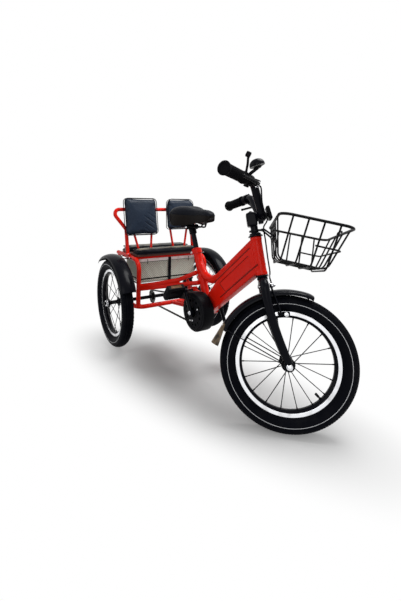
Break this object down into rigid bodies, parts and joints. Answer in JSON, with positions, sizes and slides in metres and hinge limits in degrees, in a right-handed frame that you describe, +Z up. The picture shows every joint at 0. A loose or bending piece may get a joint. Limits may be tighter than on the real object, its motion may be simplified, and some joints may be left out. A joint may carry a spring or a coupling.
{
  "type": "kids tricycle",
  "caption": "Steered, pedalled three-wheeler for a child, with a wire basket, a sprung-feel saddle and a padded bench seat with a back rest over the rear axle.",
  "frame": {"origin": "on the ground under the middle of the object's box", "axes": "+X forward, +Y to the rider's left, +Z up; at rest the steering stands turned 50 degrees to the left"},
  "size_m": [1.1575, 0.619, 0.847],
  "materials": {
    "red_paint": "gloss enamel",
    "black_paint": "gloss enamel",
    "black_plastic": "satin moulded",
    "tyre_rubber": "matt",
    "chrome": "bright plated",
    "dark_vinyl": "soft vinyl, slight sheen",
    "plywood": "stained board",
    "grey_canvas": "woven",
    "bronze_flap": "flexible sheet"
  },
  "bodies": {
    "frame": {"front_frame": "red_paint", "rear_frame": "red_paint", "seat_clamp": "red_paint", "headset_lower": "black_paint", "chain": "black_paint", "chain_case": "black_plastic", "backrest_frame": "red_paint", "right_back_pad": "dark_vinyl", "left_back_pad": "dark_vinyl", "bench_board": "plywood", "front_bench_pad": "dark_vinyl", "rear_bench_pad": "dark_vinyl", "fabric_box": "grey_canvas", "box_cradle": "black_paint", "right_axle_bearing": "black_paint", "left_axle_bearing": "black_paint", "right_rear_fender": "black_paint", "left_rear_fender": "black_paint"},
    "steering": {"fork": "black_paint", "headset_upper": "black_paint", "stem": "black_paint", "handlebar": "black_paint", "right_grip": "black_plastic", "left_grip": "black_plastic", "right_lever_bracket": "black_plastic", "left_lever_bracket": "black_plastic", "bell_base": "black_plastic", "bell_dome": "black_paint", "front_reflector": "black_plastic", "basket": "black_paint", "basket_bracket": "black_paint", "front_fender": "black_paint", "mud_flap": "bronze_flap", "right_fender_stay": "black_paint", "left_fender_stay": "black_paint", "caliper_bolt": "chrome", "front_brake_cable": "black_plastic", "front_axle": "chrome"},
    "front_wheel": {"front_tyre": "tyre_rubber", "front_wheel": "black_paint"},
    "axle": {"rear_axle": "black_paint", "axle_sprocket": "black_paint", "right_rear_wheel": "black_paint", "right_rear_tyre": "tyre_rubber", "right_axle_nut": "chrome", "left_axle_nut": "chrome"},
    "left_wheel": {"left_rear_wheel": "black_paint", "left_rear_tyre": "tyre_rubber"},
    "cranks": {"crank": "black_paint", "chainring": "black_paint"},
    "right_pedal": {"right_pedal": "black_plastic"},
    "left_pedal": {"left_pedal": "black_plastic"},
    "right_lever": {"right_brake_lever": "black_plastic"},
    "left_lever": {"left_brake_lever": "black_plastic"},
    "right_caliper": {"right_caliper_arm": "black_paint"},
    "left_caliper": {"left_caliper_arm": "black_paint"},
    "seat": {"seat_post": "black_paint", "saddle_frame": "black_plastic", "saddle": "dark_vinyl"}
  },
  "joints": [
    {"name": "steering_turn", "type": "hinge", "parent": "frame", "child": "steering", "pos_m": [0.32744, 0, 0.4646], "axis": [-0.294, 0, 0.9558], "range_deg": [-110, 10]},
    {"name": "front_wheel_spin", "type": "hinge", "parent": "steering", "child": "front_wheel", "pos_m": [0.42973, 0.02528, 0.20423], "axis": [-0.7322, 0.6428, -0.2252], "continuous": true},
    {"name": "axle_spin", "type": "hinge", "parent": "frame", "child": "axle", "pos_m": [-0.37, 0, 0.2085], "axis": [0, 1, 0], "continuous": true},
    {"name": "left_wheel_spin", "type": "hinge", "parent": "frame", "child": "left_wheel", "pos_m": [-0.37, 0.2625, 0.2085], "axis": [0, 1, 0], "continuous": true},
    {"name": "crank_turn", "type": "hinge", "parent": "frame", "child": "cranks", "pos_m": [0.043, 0, 0.26], "axis": [0, 1, 0], "continuous": true},
    {"name": "right_pedal_spin", "type": "hinge", "parent": "cranks", "child": "right_pedal", "pos_m": [0.00214, -0.092, 0.34019], "axis": [0, 1, 0], "continuous": true},
    {"name": "left_pedal_spin", "type": "hinge", "parent": "cranks", "child": "left_pedal", "pos_m": [0.08386, 0.064, 0.17981], "axis": [0, 1, 0], "continuous": true},
    {"name": "right_lever_pull", "type": "hinge", "parent": "steering", "child": "right_lever", "pos_m": [0.36137, -0.07081, 0.75416], "axis": [-0.2373, -0.2569, -0.9369], "range_deg": [0, 11], "stiffness_Nm_per_rad": 0.6},
    {"name": "left_lever_pull", "type": "hinge", "parent": "steering", "child": "left_lever", "pos_m": [0.16283, 0.10349, 0.69308], "axis": [-0.0843, 0.5392, 0.8379], "range_deg": [0, 11], "stiffness_Nm_per_rad": 0.6},
    {"name": "right_caliper_swing", "type": "hinge", "parent": "steering", "child": "right_caliper", "pos_m": [0.35159, 0.01655, 0.43332], "axis": [0.6144, 0.766, 0.189], "range_deg": [0, 0.85]},
    {"name": "left_caliper_swing", "type": "hinge", "parent": "steering", "child": "left_caliper", "pos_m": [0.3546, 0.0203, 0.43424], "axis": [-0.6144, -0.766, -0.189], "range_deg": [0, 0.85]},
    {"name": "seat_post_slide", "type": "slide", "parent": "frame", "child": "seat", "axis": [-0.4069, 0, 0.9135], "range_m": [-0.025, 0.05]}
  ],
  "couplings": [
    {"joint": "crank_turn", "follows": "axle_spin", "ratio": 0.57143},
    {"joint": "right_caliper_swing", "follows": "right_lever_pull", "ratio": 0.075},
    {"joint": "left_caliper_swing", "follows": "right_lever_pull", "ratio": 0.075}
  ]
}
